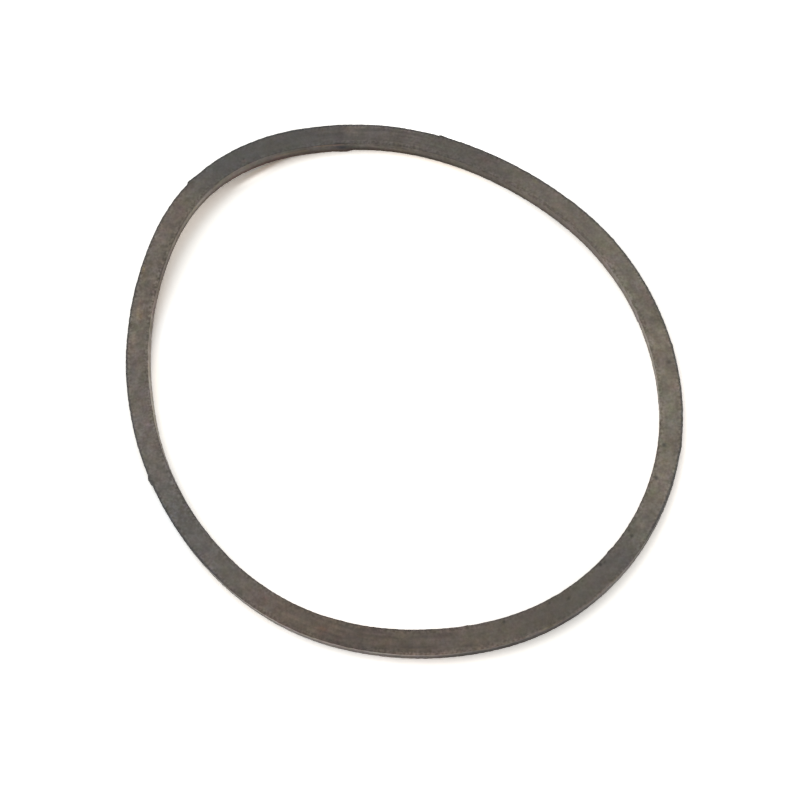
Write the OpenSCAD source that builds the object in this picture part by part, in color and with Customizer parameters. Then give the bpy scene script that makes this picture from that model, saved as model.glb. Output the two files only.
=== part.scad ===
// Flat-section rubber washer: a thin ring cut from sheet rubber, limp and out of round, lying as it
// comes to rest. Most of it is flat on the surface, and one stretch stands clear of it.
// +Z is up and the surface is Z = 0. The origin is on that surface, at the middle of the washer's
// bounding box. Directions are degrees round the washer, anticlockwise from +X, seen from above.

/* [Ring] */
// Diameter of the band's centre line, with the washer pulled round
mean_d = 97.6; // [70:0.1:160]
// Width of the band, from the bore to the rim
band = 4.0; // [2.5:0.1:8]
// Thickness of the rubber sheet
thickness = 2.4; // [1:0.1:5]
// Bevel that wear has left on each of the four cut edges
edge_break = 0.15; // [0.05:0.01:0.4]

/* [Out of round] */
// How far the long axis stands out at each end
oval = 3.55; // [0:0.05:6]
// Direction of one end of the long axis
oval_dir = -51; // [-180:1:180]
// How far the three-cornered, egg-like part of the shape stands out
egg = 0.70; // [0:0.01:2]
// Direction of one of its three corners
egg_dir = -1; // [-180:1:180]
// How far the four-cornered part of the shape stands out
boxy = 0.34; // [0:0.01:1]
// Direction of one of its four corners
boxy_dir = 40; // [-180:1:180]
// How far the band bows outwards beside the raised stretch
bow = 1.2; // [0:0.1:2]
// Direction of the middle of the bow
bow_dir = 128.5; // [-180:0.5:180]
// Half the angle that the bow takes up
bow_half = 31; // [20:1:60]

/* [Raised stretch] */
// Gap under the band at its highest point
lift = 2.75; // [0:0.05:5]
// Direction of the highest point
lift_dir = 144; // [-180:1:180]
// Half the angle that the raised stretch takes up
lift_half = 38; // [30:1:80]
// How far the band leans there, rim up, in degrees
lean = 8; // [0:0.5:12]

/* [Damage] */
// How far the torn tag of rubber stands into the bore
tag = 0.30; // [0.1:0.05:0.6]
// Direction of the tag's tip
tag_dir = 103; // [-180:1:180]
// Depth of the nick in the bore's upper edge, over the tag
nick = 0.40; // [0.1:0.05:0.6]
// Radius of the nick's hollow
nick_r = 2.0; // [1:0.1:4]

/* [Hidden] */
// sections round the ring
stations = 360;
// small waves left in the shape: waves round the ring, height in mm, direction of a crest
RIPPLES = [[5, 0.15, -36], [6, 0.07, 8]];
// where the knife wandered and left the rim wide or narrow: direction, half angle, mm of band gained
WIDE_SPOTS = [[106, 35, 0.34], [288, 45, 0.44], [17, 45, -0.17]];
// burrs on the rim: direction, run-up before the tip and fall after it in degrees, height in mm
RIM_BURRS = [[83, 2.5, 1, 0.20], [136, 2.5, 1, 0.25], [206, 1.8, 1, 0.30], [344, 1.5, 1.5, 0.12]];
// burrs on the bore, likewise, with the torn tag first
BORE_BURRS = [[tag_dir, 1, 4, tag], [286, 2, 1.5, 0.10], [318, 1, 2, 0.12]];
rubber = [0.30, 0.29, 0.27];

function sum(list) = len(list) == 0 ? 0 : list * [for (x = list) 1];

// an angle brought between -180 and 180
function turn(a) = a - 360 * round(a / 360);

// a smooth hump: 1 at its middle, and 0 from half an angle away
function hump(a, middle, half) =
    let (away = abs(turn(a - middle)))
    away < half ? (1 + cos(180 * away / half)) / 2 : 0;

// a burr: it climbs evenly to its tip and falls evenly after it
function burr(a, shape) =
    let (past = turn(a - shape[0]))
    shape[3] * max(0, 1 - (past < 0 ? -past / shape[1] : past / shape[2]));

// radius of the band's centre line
function centre_r(a) =
    mean_d / 2
    + oval * cos(2 * (a - oval_dir))
    + egg * cos(3 * (a - egg_dir))
    + boxy * cos(4 * (a - boxy_dir))
    + sum([for (wave = RIPPLES) wave[1] * cos(wave[0] * (a - wave[2]))])
    + bow * hump(a, bow_dir, bow_half);

// direction square to the centre line, outwards
function outward(a) =
    a - atan2((centre_r(a + 0.5) - centre_r(a - 0.5)) * 180 / PI, centre_r(a));

// distance from the centre line out to the rim, and in to the bore
function rim_x(a) =
    band / 2
    + sum([for (spot = WIDE_SPOTS) spot[2] * hump(a, spot[0], spot[1])])
    + sum([for (shape = RIM_BURRS) burr(a, shape)]);
function bore_x(a) = -band / 2 - sum([for (shape = BORE_BURRS) burr(a, shape)]);

// the band's section: x outwards across it and z up from its underside
function section(a) =
    let (rim = rim_x(a), bore = bore_x(a), top = thickness, e = edge_break)
    [
        [bore + e, 0], [rim - e, 0], [rim, e], [rim, top - e],
        [rim - e, top], [bore + e, top], [bore, top - e], [bore, e]
    ];

// a point of the section put in its place round the ring, leaned and lifted
function placed(a, point) =
    let (
        rise = hump(a, lift_dir, lift_half),
        angle = lean * rise,
        x = point[0],
        z = point[1] - thickness / 2,
        across = x * cos(angle) - z * sin(angle),
        centre_z = lift * rise + band / 2 * sin(angle) + thickness / 2 * cos(angle)
    )
    [
        centre_r(a) * cos(a) + across * cos(outward(a)),
        centre_r(a) * sin(a) + across * sin(outward(a)),
        centre_z + x * sin(angle) + z * cos(angle)
    ];

corners = len(section(0));
ring_points = [for (i = [0 : stations - 1], p = section(360 * i / stations)) placed(360 * i / stations, p)];
ring_faces = [
    for (i = [0 : stations - 1], c = [0 : corners - 1])
        let (i_next = (i + 1) % stations, c_next = (c + 1) % corners)
        [i * corners + c, i * corners + c_next, i_next * corners + c_next, i_next * corners + c]
];
xs = [for (p = ring_points) p[0]];
ys = [for (p = ring_points) p[1]];
middle = [(min(xs) + max(xs)) / 2, (min(ys) + max(ys)) / 2, 0];

// the cut band, swept round the ring
module cut_band() {
    polyhedron(points = ring_points, faces = ring_faces, convexity = 6);
}

// the ball that hollows out the nick, reaching down and outwards into the bore's upper edge
module nick_ball() {
    reach = (nick_r - nick) * sqrt(1 / 2);
    translate(placed(tag_dir + 1, [bore_x(tag_dir + 1) - reach, thickness + reach]))
        sphere(r = nick_r, $fn = 48);
}

module washer() {
    color(rubber)
        translate(-middle)
            difference() {
                cut_band();
                nick_ball();
            }
}

washer();
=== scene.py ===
"""Looks for the rubber washer: a flat ring cut from sheet rubber, limp, worn and out of round.

The ring is one closed surface. Its section is a rectangle with rounded arrises, carried round a wavy
centre line, lifted and leaned along one stretch, and marked by burrs, a torn tag, a nick and pits.
Lengths are in metres and directions in degrees round the ring, anticlockwise from +X seen from above.
"""

import logging
import math
from dataclasses import dataclass, field
from enum import Enum

import bpy
import numpy as np
from mathutils import Matrix, Vector

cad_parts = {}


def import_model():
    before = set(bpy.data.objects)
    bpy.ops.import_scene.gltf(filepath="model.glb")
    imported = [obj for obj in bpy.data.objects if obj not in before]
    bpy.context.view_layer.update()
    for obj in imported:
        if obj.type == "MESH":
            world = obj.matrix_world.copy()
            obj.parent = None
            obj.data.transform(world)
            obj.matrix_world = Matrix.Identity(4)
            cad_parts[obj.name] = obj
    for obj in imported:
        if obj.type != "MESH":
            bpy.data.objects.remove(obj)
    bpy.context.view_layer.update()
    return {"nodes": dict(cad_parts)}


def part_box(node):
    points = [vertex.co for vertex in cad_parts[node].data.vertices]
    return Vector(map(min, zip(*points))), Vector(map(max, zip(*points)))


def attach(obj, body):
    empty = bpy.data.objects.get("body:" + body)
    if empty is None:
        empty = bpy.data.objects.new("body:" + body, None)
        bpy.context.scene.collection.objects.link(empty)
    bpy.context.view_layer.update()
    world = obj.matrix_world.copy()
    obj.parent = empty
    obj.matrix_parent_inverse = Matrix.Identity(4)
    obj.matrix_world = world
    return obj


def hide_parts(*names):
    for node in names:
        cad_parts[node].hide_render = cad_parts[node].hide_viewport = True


LOG = logging.getLogger("washer")
# One millimetre, in metres.
MM = 0.001
WHITE = (1.0, 1.0, 1.0, 1.0)

Grid = np.ndarray
Span = tuple[float, float]
Counts = tuple[int, int]
Triple = tuple[float, float, float]
Colour = tuple[float, float, float, float]
Socket = bpy.types.NodeSocket
# What a node's input takes: another node's output, a number or a vector.
Input = Socket | float | tuple


class Edge(Enum):
    """The two cut edges of the ring."""

    RIM = "rim"
    BORE = "bore"


class Side(Enum):
    """The sides of the band's section that show."""

    TOP = "top"
    RIM_WALL = "rim wall"
    BORE_WALL = "bore wall"


def turned(angle: Grid, direction: float) -> Grid:
    """Angles counted from a direction, brought between -180 and 180.

    Args:
        angle: angles round the ring, in degrees.
        direction: the direction that counts as nought.

    Returns:
        The differences, in degrees.
    """
    return (angle - direction + 180.0) % 360.0 - 180.0


def smooth_step(value: Grid, low: float, high: float) -> Grid:
    """A smooth climb from 0 at low to 1 at high: 3s^2 - 2s^3, with s the share of the way.

    Args:
        value: where to read the climb.
        low: where it leaves 0.
        high: where it reaches 1.

    Returns:
        The climb at each value, from 0 to 1.
    """
    share = np.clip((value - low) / (high - low), 0.0, 1.0)
    return share * share * (3.0 - 2.0 * share)


@dataclass(frozen=True)
class Hump:
    """A smooth rise of a given size: half of 1 + cos, and nought from half an angle away."""

    direction: float
    half: float
    size: float

    def at(self, angle: Grid) -> Grid:
        """The rise at each angle."""
        away = np.minimum(np.abs(turned(angle, self.direction)) / self.half, 1.0)
        return self.size * 0.5 * (1.0 + np.cos(np.pi * away))


@dataclass(frozen=True)
class Wave:
    """An even wave round the ring: size times cos(count * (angle - crest))."""

    count: int
    size: float
    crest: float

    def at(self, angle: Grid) -> Grid:
        """The wave's height at each angle."""
        return self.size * np.cos(np.radians(self.count * (angle - self.crest)))


@dataclass(frozen=True)
class Burr:
    """A snag on a cut edge: it climbs evenly over its run-up to its tip, and falls evenly after it.

    The size is how far it stands out at the foot of the wall, and the top share is how much of that is
    left at the top.
    """

    edge: Edge
    direction: float
    run_up: float
    fall: float
    size: float
    top_share: float = 1.0

    def at(self, angle: Grid) -> Grid:
        """How far the snag stands out at the foot of the wall: size * (1 - the share of the way past).

        Args:
            angle: angles round the ring, in degrees.

        Returns:
            The height at each angle, nought beyond the run-up and the fall.
        """
        past = turned(angle, self.direction)
        slope = np.where(past < 0.0, -past / self.run_up, past / self.fall)
        return self.size * np.maximum(0.0, 1.0 - slope)


@dataclass(frozen=True)
class Pit:
    """A small round hole in the upper face, from -1 at the bore's edge across to 1 at the rim's."""

    direction: float
    across: float
    radius: float
    depth: float


class RandomWaves:
    """Seeded sums of cosines, for the unevenness that no two washers share."""

    def __init__(self, seed: int) -> None:
        """Starts the random draws.

        Args:
            seed: the seed, so that every run gives the same surface.
        """
        self.draw = np.random.default_rng(seed)

    def around(self, angle: Grid, counts: Counts, terms: int, size: float) -> Grid:
        """A wobble round the ring: the sum of size * cos(count * angle - crest), with random numbers.

        Args:
            angle: angles round the ring, in degrees.
            counts: the fewest and the most waves round the ring.
            terms: how many waves are summed.
            size: the root mean square height of the sum.

        Returns:
            The wobble at each angle.
        """
        drawn = self.draw.integers(*counts, terms)
        crests = self.draw.uniform(0.0, 360.0, terms)
        waves = np.cos(np.radians(np.multiply.outer(angle, drawn) - crests))
        return size * waves.sum(axis=-1) * math.sqrt(2.0 / terms)

    def over(self, angle: Grid, across: Grid, counts: Counts, steepest: float, terms: int) -> Grid:
        """A wobble over a grid: cos(count * angle + rate * across + crest), with random numbers.

        Args:
            angle: angles round the ring, in degrees, as a column.
            across: distance round the section, in metres, as a row.
            counts: the fewest and the most waves round the ring.
            steepest: the quickest wave round the section, in radians per metre.
            terms: how many waves are summed.

        Returns:
            The wobble on the grid, with a root mean square of 1.
        """
        total = np.zeros(np.broadcast(angle, across).shape)
        for _ in range(terms):
            count = self.draw.integers(*counts)
            rate = self.draw.uniform(-steepest, steepest)
            crest = self.draw.uniform(0.0, 2.0 * math.pi)
            total += np.cos(np.radians(count * angle) + rate * across + crest)
        return total * math.sqrt(2.0 / terms)


@dataclass(frozen=True)
class Section:
    """The band's section: a rectangle with rounded arrises, as points counted round it."""

    band: float = 4.0 * MM
    thickness: float = 2.4 * MM
    top_arris: float = 0.11 * MM
    foot_arris: float = 0.04 * MM
    top_points: int = 21
    wall_points: int = 11
    under_points: int = 5
    arris_points: int = 3

    def outline(self) -> tuple[Grid, Grid, Grid, Grid]:
        """Points and outward directions round the section, from the middle of the underside.

        Each side runs straight between two arrises. An arris is a quarter circle of the arris radius,
        and its points share the quarter turn evenly. The order is underside, rim wall, top, bore wall
        and underside again, so the seam lies under the band.

        Returns:
            The points across the band, their heights, and the two parts of the outward direction.
        """
        half, high, top, foot = self.band / 2.0, self.thickness, self.top_arris, self.foot_arris
        corners = [
            (half - foot, foot, -90.0, foot),
            (half - top, high - top, 0.0, top),
            (top - half, high - top, 90.0, top),
            (foot - half, foot, 180.0, foot),
        ]
        counts = [self.wall_points, self.top_points, self.wall_points, self.under_points]
        points, normals = [], []
        for index, (x, z, start, radius) in enumerate(corners):
            angles = np.radians(np.linspace(start, start + 90.0, self.arris_points + 2))
            facing = np.stack([np.cos(angles), np.sin(angles)], axis=1)
            curve = np.array([x, z]) + radius * facing
            x_next, z_next, _, radius_next = corners[(index + 1) % len(corners)]
            straight_end = np.array([x_next, z_next]) + radius_next * facing[-1]
            shares = np.linspace(0.0, 1.0, counts[index] + 2)[1:-1, None]
            points += [curve, curve[-1] * (1.0 - shares) + straight_end * shares]
            normals += [facing, np.repeat(facing[-1:], counts[index], axis=0)]
        path, facing = np.concatenate(points), np.concatenate(normals)
        seam = self.under_points // 2
        path, facing = np.roll(path, seam, axis=0), np.roll(facing, seam, axis=0)
        return path[:, 0], path[:, 1], facing[:, 0], facing[:, 1]

    def girth(self) -> Grid:
        """Distance round the section, from its first point to each point."""
        x, z, _, _ = self.outline()
        return np.concatenate([[0.0], np.cumsum(np.hypot(np.diff(x), np.diff(z)))])


@dataclass(frozen=True)
class Lie:
    """How the limp ring lies: its wavy centre line, and the stretch that stands clear."""

    mean_radius: float = 48.8 * MM
    waves: tuple[Wave, ...] = (
        Wave(2, 3.55 * MM, -51.0),
        Wave(3, 0.70 * MM, -1.0),
        Wave(4, 0.34 * MM, 40.0),
        Wave(5, 0.15 * MM, -36.0),
        Wave(6, 0.07 * MM, 8.0),
    )
    bow: Hump = Hump(128.5, 31.0, 1.2 * MM)
    sways: tuple[Hump, ...] = (
        Hump(38.0, 14.0, 0.07 * MM),
        Hump(126.0, 22.0, -0.08 * MM),
        Hump(186.0, 12.0, -0.08 * MM),
        Hump(230.0, 16.0, -0.09 * MM),
        Hump(299.0, 16.0, 0.16 * MM),
        Hump(345.0, 18.0, 0.11 * MM),
    )
    lift: Hump = Hump(144.0, 38.0, 2.75 * MM)
    lean: Hump = Hump(144.0, 38.0, 8.0)
    slope_step: float = 0.5

    def radius(self, angle: Grid) -> Grid:
        """Radius of the centre line: the mean radius, plus the waves, the bow and the small sways."""
        bends = sum(bend.at(angle) for bend in self.waves + self.sways)
        return self.mean_radius + bends + self.bow.at(angle)

    def outward(self, angle: Grid) -> Grid:
        """Direction square to the centre line: the angle less atan(slope / radius).

        The slope is read from the radius a small step either side.

        Args:
            angle: angles round the ring, in degrees.

        Returns:
            The directions, in radians.
        """
        rise = self.radius(angle + self.slope_step) - self.radius(angle - self.slope_step)
        slope = rise / math.radians(2.0 * self.slope_step)
        return np.radians(angle) - np.arctan2(slope, self.radius(angle))

    def placed(self, angle: Grid, across: Grid, height: Grid, section: Section) -> Grid:
        """Puts points of the section in place round the ring, leaned about mid thickness and lifted.

        A point at (x, z) from the section's middle turns by the lean to (x cos - z sin, x sin + z cos).
        It then goes out from the centre line along its normal, and up by the lift.

        Args:
            angle: angles round the ring, in degrees, as a column.
            across: distances outwards from the centre line.
            height: heights above the underside.
            section: the band's section.

        Returns:
            Positions, with the three coordinates last.
        """
        lean = np.radians(self.lean.at(angle))
        x, z = across, height - section.thickness / 2.0
        out = x * np.cos(lean) - z * np.sin(lean)
        middle = (
            self.lift.at(angle)
            + section.band / 2.0 * np.sin(lean)
            + section.thickness / 2.0 * np.cos(lean)
        )
        up = middle + x * np.sin(lean) + z * np.cos(lean)
        facing, turn, radius = self.outward(angle), np.radians(angle), self.radius(angle)
        return np.stack(
            [
                radius * np.cos(turn) + out * np.cos(facing),
                radius * np.sin(turn) + out * np.sin(facing),
                up,
            ],
            axis=-1,
        )


@dataclass(frozen=True)
class CutEdges:
    """How true the knife cut: wide and narrow stretches, ragged arrises, burrs and the torn tag."""

    rim_swells: tuple[Hump, ...] = (
        Hump(106.0, 35.0, 0.34 * MM),
        Hump(288.0, 45.0, 0.44 * MM),
        Hump(17.0, 45.0, -0.145 * MM),
        Hump(358.0, 20.0, 0.09 * MM),
        Hump(30.0, 28.0, 0.08 * MM),
        Hump(76.0, 15.0, 0.09 * MM),
        Hump(115.0, 10.0, 0.07 * MM),
        Hump(133.0, 12.0, -0.05 * MM),
        Hump(150.0, 18.0, -0.05 * MM),
        Hump(180.0, 12.0, 0.08 * MM),
        Hump(209.0, 22.0, -0.05 * MM),
        Hump(254.0, 16.0, 0.11 * MM),
        Hump(326.0, 18.0, -0.07 * MM),
    )
    bore_swells: tuple[Hump, ...] = (
        Hump(11.0, 14.0, 0.06 * MM),
        Hump(64.0, 12.0, 0.04 * MM),
        Hump(118.0, 9.0, -0.07 * MM),
        Hump(152.0, 20.0, 0.06 * MM),
        Hump(182.0, 20.0, 0.08 * MM),
        Hump(189.0, 9.0, 0.04 * MM),
        Hump(204.0, 8.0, -0.04 * MM),
        Hump(243.0, 9.0, 0.05 * MM),
        Hump(278.0, 10.0, 0.06 * MM),
        Hump(297.0, 12.0, 0.06 * MM),
        Hump(330.0, 12.0, -0.04 * MM),
    )
    burrs: tuple[Burr, ...] = (
        Burr(Edge.RIM, 82.6, 2.4, 0.5, 0.22 * MM),
        Burr(Edge.RIM, 136.4, 2.6, 0.5, 0.27 * MM),
        Burr(Edge.RIM, 205.9, 1.3, 0.5, 0.34 * MM),
        Burr(Edge.RIM, 344.0, 1.5, 1.5, 0.12 * MM),
        Burr(Edge.RIM, 34.0, 0.8, 0.8, 0.10 * MM),
        Burr(Edge.RIM, 47.0, 0.8, 1.2, 0.08 * MM),
        Burr(Edge.RIM, 60.5, 1.0, 1.0, 0.08 * MM),
        Burr(Edge.RIM, 6.0, 1.4, 0.4, 0.10 * MM),
        Burr(Edge.BORE, 102.7, 1.2, 3.2, 0.28 * MM, top_share=0.35),
        Burr(Edge.BORE, 104.0, 1.5, 42.0, 0.17 * MM, top_share=0.5),
        Burr(Edge.BORE, 286.5, 1.0, 1.2, 0.10 * MM),
        Burr(Edge.BORE, 304.0, 0.5, 0.8, 0.08 * MM),
        Burr(Edge.BORE, 318.4, 0.5, 1.4, 0.14 * MM),
    )
    ragged: float = 0.015 * MM
    ragged_counts: Counts = (25, 330)
    ragged_terms: int = 40

    def gain(self, edge: Edge, angle: Grid, height_share: Grid, waves: RandomWaves) -> Grid:
        """How far an edge stands out past half the band.

        A swell widens the band on its own side. A burr keeps its top share of its size at the top of
        the wall. The ragged wobble fades from one row of random waves at the foot to another at the top.

        Args:
            edge: which edge.
            angle: angles round the ring, in degrees, as a column.
            height_share: height up the wall as a share of the thickness, as a row.
            waves: the random waves.

        Returns:
            The gain on the grid, in metres.
        """
        foot, top = (
            waves.around(angle, self.ragged_counts, self.ragged_terms, self.ragged) for _ in range(2)
        )
        total = foot * (1.0 - height_share) + top * height_share
        for burr in self.burrs:
            if burr.edge is edge:
                total = total + burr.at(angle) * (1.0 + (burr.top_share - 1.0) * height_share)
        swells = self.rim_swells if edge is Edge.RIM else self.bore_swells
        return total + sum(swell.at(angle) for swell in swells)


@dataclass(frozen=True)
class Nick:
    """A hollow torn out of the bore's upper arris, as if pressed by a ball."""

    direction: float = 104.0
    radius: float = 2.0 * MM
    depth: float = 0.4 * MM

    def centre(self, lie: Lie, section: Section, gain: float) -> Grid:
        """The ball's centre: up and inwards from the sharp corner, by its radius less the depth.

        Args:
            lie: the centre line.
            section: the band's section.
            gain: how far the bore's edge stands out there.

        Returns:
            The centre's position.
        """
        reach = (self.radius - self.depth) * math.sqrt(0.5)
        across = np.array([-section.band / 2.0 - gain - reach])
        height = np.array([section.thickness + reach])
        return lie.placed(np.array([self.direction]), across, height, section)[0]

    def pressed(self, points: Grid, centre: Grid) -> Grid:
        """Moves points inside the ball straight away from its centre, out to its surface.

        Args:
            points: positions, with the three coordinates last.
            centre: the ball's centre.

        Returns:
            The positions, with those outside the ball as they were.
        """
        away = points - centre
        distance = np.linalg.norm(away, axis=-1, keepdims=True)
        return centre + away * np.maximum(1.0, self.radius / distance)


@dataclass(frozen=True)
class WornFace:
    """The upper face as use has left it: gently uneven, with small pits."""

    uneven: float = 0.012 * MM
    uneven_counts: Counts = (4, 90)
    uneven_steepest: float = 2500.0
    uneven_terms: int = 24
    wall_share: float = 0.5
    pits: tuple[Pit, ...] = (
        Pit(343.8, -0.45, 0.55 * MM, 0.10 * MM),
        Pit(336.6, -0.50, 0.48 * MM, 0.10 * MM),
        Pit(323.7, -0.25, 0.42 * MM, 0.09 * MM),
        Pit(315.5, -0.72, 0.42 * MM, 0.10 * MM),
        Pit(316.4, -0.60, 0.30 * MM, 0.08 * MM),
        Pit(324.4, -0.72, 0.34 * MM, 0.08 * MM),
        Pit(306.6, -0.15, 0.38 * MM, 0.09 * MM),
        Pit(293.6, -0.62, 0.34 * MM, 0.09 * MM),
        Pit(303.0, -0.66, 0.32 * MM, 0.08 * MM),
        Pit(124.7, -0.30, 0.30 * MM, 0.08 * MM),
        Pit(125.6, -0.42, 0.22 * MM, 0.06 * MM),
        Pit(2.1, 0.35, 0.50 * MM, 0.07 * MM),
    )
    deepest: float = 0.10 * MM

    def wobble(self, angle: Grid, girth: Grid, waves: RandomWaves) -> Grid:
        """The face's unevenness over the surface, in metres: its size times a sum of random waves."""
        return self.uneven * waves.over(
            angle, girth, self.uneven_counts, self.uneven_steepest, self.uneven_terms
        )

    def sink(self, angle: Grid, across: Grid, lie: Lie, section: Section) -> Grid:
        """How deep the pits reach: for each, depth times 1 - (distance / radius)^2, where that is over 0.

        Args:
            angle: angles round the ring, in degrees, as a column.
            across: distances outwards from the centre line, as a grid.
            lie: the centre line, for distances along the ring.
            section: the band's section.

        Returns:
            The depth on the grid, in metres.
        """
        total = np.zeros_like(across)
        for pit in self.pits:
            along = np.radians(turned(angle, pit.direction)) * lie.radius(angle)
            offset = across - pit.across * section.band / 2.0
            total += pit.depth * np.maximum(0.0, 1.0 - (along**2 + offset**2) / pit.radius**2)
        return total


@dataclass(frozen=True)
class Stain:
    """A soft-edged spot whose colour is multiplied by a factor, with its length along the ring.

    Its place counts across the top from -1 at the bore's edge to 1 at the rim's, and up a wall from 0
    at the foot to 1 at the top.
    """

    direction: float
    place: float
    half_length: float
    half_width: float
    factor: Triple
    side: Side = Side.TOP


@dataclass(frozen=True)
class Line:
    """A line that runs along one side of the band, with its colour multiplied by a factor.

    It goes from its start anticlockwise to its end, and lies between two places that count as a
    stain's do.
    """

    side: Side
    start: float
    end: float
    fade: float
    low: float
    high: float
    factor: Triple

    def along(self, angle: Grid) -> Grid:
        """How strong the line is along the band: 1 between its ends, 0 a fade beyond either end.

        Args:
            angle: angles round the ring, in degrees.

        Returns:
            The strength at each angle.
        """
        half = (self.end - self.start) % 360.0 / 2.0
        away = np.abs(turned(angle, self.start + half))
        return 1.0 - smooth_step(away, half, half + self.fade)

    def across(self, place: Grid) -> Grid:
        """How strong the line is across its side: it fades over a quarter of its width at each edge.

        Args:
            place: places across the side.

        Returns:
            The strength at each place, a half where the line's own edge is.
        """
        soft = (self.high - self.low) / 4.0
        middle = (self.high + self.low) / 2.0
        away = np.abs(place - middle)
        return 1.0 - smooth_step(away, middle - self.low - soft, middle - self.low + soft)


@dataclass(frozen=True)
class Shade:
    """The colour at one direction round the ring, which on the walls holds painted light and shade."""

    direction: float
    colour: Triple


@dataclass(frozen=True)
class ShadeRun:
    """Colours set at a few directions, blended evenly from each to the next right round the ring."""

    shades: tuple[Shade, ...]

    def at(self, angle: Grid) -> Grid:
        """The colour at each angle.

        Args:
            angle: angles round the ring, in degrees, as a column.

        Returns:
            Red, green and blue, last in the array.
        """
        keys = [shade.direction for shade in self.shades]
        parts = [
            np.interp(angle, keys, [shade.colour[part] for shade in self.shades], period=360.0)
            for part in range(3)
        ]
        return np.stack(parts, axis=-1)


# The rubber's colour round the ring: on the upper face, then on each wall higher up and at its foot.
# The walls' colours also hold painted light and shade.
TOP_SHADES = ShadeRun(
    (
        Shade(2.0, (0.170, 0.142, 0.106)),
        Shade(12.0, (0.132, 0.110, 0.080)),
        Shade(30.0, (0.155, 0.133, 0.102)),
        Shade(44.0, (0.130, 0.107, 0.082)),
        Shade(60.0, (0.117, 0.096, 0.077)),
        Shade(72.0, (0.078, 0.064, 0.050)),
        Shade(98.0, (0.078, 0.064, 0.053)),
        Shade(112.0, (0.057, 0.050, 0.042)),
        Shade(120.0, (0.067, 0.060, 0.051)),
        Shade(130.0, (0.064, 0.060, 0.052)),
        Shade(142.0, (0.121, 0.097, 0.072)),
        Shade(172.0, (0.123, 0.099, 0.075)),
        Shade(186.0, (0.107, 0.0885, 0.0705)),
        Shade(202.0, (0.127, 0.106, 0.086)),
        Shade(214.0, (0.087, 0.078, 0.068)),
        Shade(232.0, (0.101, 0.086, 0.073)),
        Shade(250.0, (0.105, 0.074, 0.050)),
        Shade(268.0, (0.078, 0.056, 0.039)),
        Shade(288.0, (0.104, 0.080, 0.059)),
        Shade(303.0, (0.080, 0.065, 0.047)),
        Shade(312.0, (0.093, 0.078, 0.059)),
        Shade(319.0, (0.087, 0.077, 0.065)),
        Shade(334.0, (0.163, 0.138, 0.103)),
        Shade(350.0, (0.148, 0.125, 0.093)),
    )
)
# Painted light: the bore wall is paler where it stands in for light from the lamp and from the white card,
# and darker where it faces away from them.
BORE_WALL_TONE_AND_PAINTED_LIGHT = ShadeRun(
    (
        Shade(0.0, (0.335, 0.29, 0.235)),
        Shade(10.0, (0.31, 0.27, 0.22)),
        Shade(20.0, (0.235, 0.20, 0.165)),
        Shade(30.0, (0.215, 0.18, 0.15)),
        Shade(45.0, (0.18, 0.142, 0.12)),
        Shade(60.0, (0.14, 0.117, 0.093)),
        Shade(90.0, (0.14, 0.115, 0.088)),
        Shade(105.0, (0.12, 0.10, 0.085)),
        Shade(113.0, (0.112, 0.095, 0.08)),
        Shade(120.0, (0.145, 0.123, 0.103)),
        Shade(130.0, (0.235, 0.197, 0.16)),
        Shade(140.0, (0.305, 0.255, 0.205)),
        Shade(160.0, (0.21, 0.16, 0.12)),
        Shade(172.0, (0.325, 0.275, 0.225)),
        Shade(184.0, (0.41, 0.365, 0.29)),
        Shade(205.0, (0.24, 0.21, 0.17)),
        Shade(240.0, (0.16, 0.135, 0.11)),
        Shade(320.0, (0.16, 0.14, 0.11)),
    )
)
# Painted shade: the bore wall is darker towards its foot, standing in for contact shade next to the card.
BORE_FOOT_TONE_AND_PAINTED_SHADE = ShadeRun(
    (
        Shade(0.0, (0.225, 0.19, 0.155)),
        Shade(30.0, (0.16, 0.125, 0.10)),
        Shade(45.0, (0.115, 0.083, 0.068)),
        Shade(60.0, (0.09, 0.07, 0.05)),
        Shade(90.0, (0.062, 0.042, 0.024)),
        Shade(105.0, (0.055, 0.032, 0.020)),
        Shade(113.0, (0.092, 0.055, 0.040)),
        Shade(120.0, (0.08, 0.040, 0.028)),
        Shade(130.0, (0.12, 0.08, 0.06)),
        Shade(140.0, (0.125, 0.096, 0.074)),
        Shade(152.0, (0.105, 0.078, 0.062)),
        Shade(160.0, (0.13, 0.095, 0.075)),
        Shade(172.0, (0.29, 0.245, 0.20)),
        Shade(184.0, (0.36, 0.32, 0.25)),
        Shade(205.0, (0.20, 0.17, 0.14)),
        Shade(240.0, (0.10, 0.085, 0.07)),
        Shade(320.0, (0.10, 0.085, 0.07)),
    )
)
# Painted light: the rim wall is paler from 235 to 317 degrees, standing in for light bounced off the white
# card, and dark where it is out of sight, as painted shade along the outline.
RIM_WALL_TONE_AND_PAINTED_LIGHT = ShadeRun(
    (
        Shade(0.0, (0.075, 0.068, 0.062)),
        Shade(215.0, (0.075, 0.068, 0.062)),
        Shade(235.0, (0.29, 0.26, 0.225)),
        Shade(243.0, (0.43, 0.37, 0.325)),
        Shade(254.0, (0.45, 0.38, 0.335)),
        Shade(266.0, (0.42, 0.35, 0.305)),
        Shade(280.0, (0.28, 0.235, 0.195)),
        Shade(288.0, (0.22, 0.18, 0.15)),
        Shade(295.0, (0.155, 0.127, 0.11)),
        Shade(303.0, (0.17, 0.14, 0.12)),
        Shade(317.0, (0.28, 0.245, 0.215)),
        Shade(330.0, (0.11, 0.10, 0.085)),
    )
)
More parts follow.
